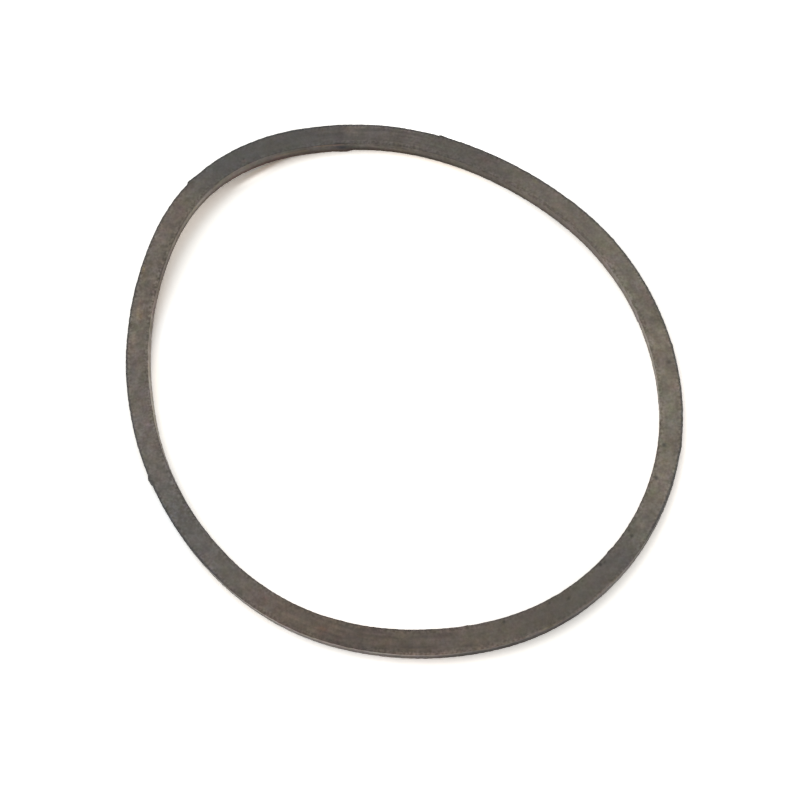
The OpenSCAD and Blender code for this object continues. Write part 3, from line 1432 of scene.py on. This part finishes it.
@dataclass(frozen=True)
class FloorFinish:
    """Bright white card that shows white wherever it is lit, and keeps the ring's shadow, reshaped and
    tinted by ovals of painted light and shadow.
    """

    card: Colour = (0.88, 0.87, 0.86, 1.0)
    seen: Colour = (1.463, 1.437, 1.382, 1.0)
    # Painted light and shadow on the card as looked at: a lighter pool above the ring, a dark and a light
    # oval that reshape the shadow inside the raised stretch, warm and cool tints along the shadows, and
    # lighter places below and right of the ring that thin its shadow.
    painted_light_and_shadow: tuple[PaintedLightOval, ...] = (
        PaintedLightOval(6.0 * MM, 47.0 * MM, 30.0 * MM, (1.30, 1.30, 1.30, 1.0)),
        PaintedLightOval(-26.6 * MM, 44.8 * MM, 12.0 * MM, (0.52, 0.48, 0.45, 1.0), 1.3 * MM, 32.5),
        PaintedLightOval(-28.4 * MM, 43.1 * MM, 7.8 * MM, (1.42, 1.42, 1.42, 1.0), 1.3 * MM, 37.0),
        PaintedLightOval(-11.3 * MM, 14.0 * MM, 35.4 * MM, (1.0, 0.925, 0.868, 1.0), rim=0.10),
        PaintedLightOval(-45.2 * MM, 6.0 * MM, 12.0 * MM, (0.95, 1.02, 1.09, 1.0), 3.5 * MM, 85.0),
        PaintedLightOval(-39.4 * MM, -28.7 * MM, 16.0 * MM, (1.065, 1.10, 1.145, 1.0), 3.5 * MM, -54.0),
        PaintedLightOval(-9.5 * MM, -50.3 * MM, 21.0 * MM, (0.93, 0.968, 0.985, 1.0), 5.0 * MM, -16.0),
        PaintedLightOval(-8.0 * MM, -54.0 * MM, 45.0 * MM, (1.23, 1.185, 1.17, 1.0)),
        PaintedLightOval(52.0 * MM, -9.0 * MM, 38.0 * MM, (1.23, 1.195, 1.18, 1.0)),
    )
    far: Span = (0.15, 0.60)
    far_gain: float = 4.0
    roughness: float = 1.0
    shine: float = 0.0
    name: str = "white_card"

    def make(self) -> bpy.types.Material:
        """Builds the material: the card's own colour in bounced light, a brighter one when looked at, which
        the ovals' painted light and shadow change.

        Far from the middle, where less light falls, the colour looked at is brighter still.

        Returns:
            The material.
        """
        material = bpy.data.materials.new(self.name)
        material.use_nodes = True
        board = NodeBoard(material.node_tree)
        place = board.add("ShaderNodeTexCoord").outputs["Object"]
        shown = self.seen
        for bloom in self.painted_light_and_shadow:
            shown = board.blend(1.0, shown, bloom.factors(board, place), "MULTIPLY")
        shown = board.scaled(shown, board.ramp(board.length(place), self.far, (1.0, self.far_gain)))
        looked_at = board.add("ShaderNodeLightPath").outputs["Is Camera Ray"]
        colour = board.blend(looked_at, self.card, shown)
        shader = board.add("ShaderNodeBsdfPrincipled")
        board.put(shader.inputs["Base Color"], colour)
        shader.inputs["Roughness"].default_value = self.roughness
        shader.inputs["Specular IOR Level"].default_value = self.shine
        output = board.add("ShaderNodeOutputMaterial")
        board.put(output.inputs["Surface"], shader.outputs[0])
        return material


@dataclass
class Floor:
    """The white card that the washer lies on, a round sheet just under its underside."""

    radius: float = 3.0
    gap: float = 0.02 * MM
    sides: int = 64
    finish: FloorFinish = field(default_factory=FloorFinish)
    name: str = "floor"

    def build(self) -> bpy.types.Object:
        """Makes the sheet: points on a circle, at radius (cos, sin), and one face.

        Returns:
            The linked object.
        """
        turn = np.linspace(0.0, 2.0 * math.pi, self.sides, endpoint=False)
        level = np.full(self.sides, -self.gap)
        points = np.stack([self.radius * np.cos(turn), self.radius * np.sin(turn), level], axis=1)
        mesh = bpy.data.meshes.new(self.name)
        mesh.from_pydata(points, [], [list(range(self.sides))])
        mesh.materials.append(self.finish.make())
        sheet = bpy.data.objects.new(self.name, mesh)
        bpy.context.scene.collection.objects.link(sheet)
        return sheet


@dataclass
class Studio:
    """Soft light: a white room all round, and one broad lamp from behind and to the left."""

    room_strength: float = 0.7
    lamp_bearing: float = 128.0
    lamp_height: float = 60.0
    lamp_distance: float = 0.8
    lamp_size: float = 0.72
    lamp_watts: float = 2.0

    def build(self) -> bpy.types.Object:
        """Sets the world, hangs the lamp and gives the lamp back."""
        self.room()
        return self.lamp()

    def room(self) -> None:
        """A white world, at full white where it is looked at and dimmer as a light."""
        world = bpy.data.worlds.new("room")
        bpy.context.scene.world = world
        world.use_nodes = True
        board = NodeBoard(world.node_tree)
        looked_at = board.add("ShaderNodeLightPath").outputs["Is Camera Ray"]
        strength = board.ramp(looked_at, (0.0, 1.0), (self.room_strength, 1.0))
        background = board.add("ShaderNodeBackground")
        background.inputs["Color"].default_value = WHITE
        board.put(background.inputs["Strength"], strength)
        output = board.add("ShaderNodeOutputWorld")
        board.put(output.inputs["Surface"], background.outputs[0])

    def lamp(self) -> bpy.types.Object:
        """A round lamp that faces the origin, at its bearing, height and distance.

        The direction to it is (cos bearing cos height, sin bearing cos height, sin height).

        Returns:
            The lamp.
        """
        light = bpy.data.lights.new("lamp", "AREA")
        light.shape = "DISK"
        light.size = self.lamp_size
        light.energy = self.lamp_watts
        bearing, height = math.radians(self.lamp_bearing), math.radians(self.lamp_height)
        level = math.cos(height)
        place = Vector((math.cos(bearing) * level, math.sin(bearing) * level, math.sin(height)))
        lamp = bpy.data.objects.new("lamp", light)
        lamp.location = place * self.lamp_distance
        lamp.rotation_euler = place.to_track_quat("Z", "Y").to_euler()
        bpy.context.scene.collection.objects.link(lamp)
        return lamp


@dataclass
class Viewpoint:
    """The camera: above and in front of the washer, a little turned."""

    place: Triple = (27.815 * MM, -118.389 * MM, 262.594 * MM)
    aim: Triple = (0.337 * MM, -4.836 * MM, 0.0)
    roll: float = 12.47
    lens: float = 72.0
    sensor: float = 36.0
    clip: Span = (0.01, 20.0)

    def build(self) -> bpy.types.Object:
        """Makes the camera and gives it to the scene.

        It looks from its place to its aim. Its level right hand is the cross product of that line and
        up, turned about the line by the roll.

        Returns:
            The camera.
        """
        camera = bpy.data.cameras.new("camera")
        camera.lens, camera.sensor_width = self.lens, self.sensor
        camera.clip_start, camera.clip_end = self.clip
        line = (Vector(self.aim) - Vector(self.place)).normalized()
        level = line.cross(Vector((0.0, 0.0, 1.0))).normalized()
        right = Matrix.Rotation(math.radians(self.roll), 3, line) @ level
        up = right.cross(line)
        holder = bpy.data.objects.new("camera", camera)
        turn = Matrix((right, up, -line)).transposed().to_4x4()
        holder.matrix_world = Matrix.Translation(self.place) @ turn
        bpy.context.scene.collection.objects.link(holder)
        bpy.context.scene.camera = holder
        return holder


def main() -> None:
    """Builds the washer on its frame, then the floor, the light and the camera."""
    logging.basicConfig(level=logging.INFO, format="%(name)s: %(message)s")
    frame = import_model()
    LOG.info("frame loaded with %d node(s)", len(frame["nodes"]))
    bpy.context.scene.view_settings.view_transform = "Standard"

    ring = Washer().build()
    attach(ring, "root")
    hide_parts("washer")
    LOG.info("%s: %d faces", ring.name, len(ring.data.polygons))

    floor = Floor().build()
    LOG.info("%s: radius %.1f m", floor.name, Floor.radius)
    lamp = Studio().build()
    LOG.info("%s: %.1f W", lamp.name, lamp.data.energy)
    camera = Viewpoint().build()
    LOG.info("%s: %.0f mm lens", camera.name, camera.data.lens)


if __name__ == "__main__":
    main()
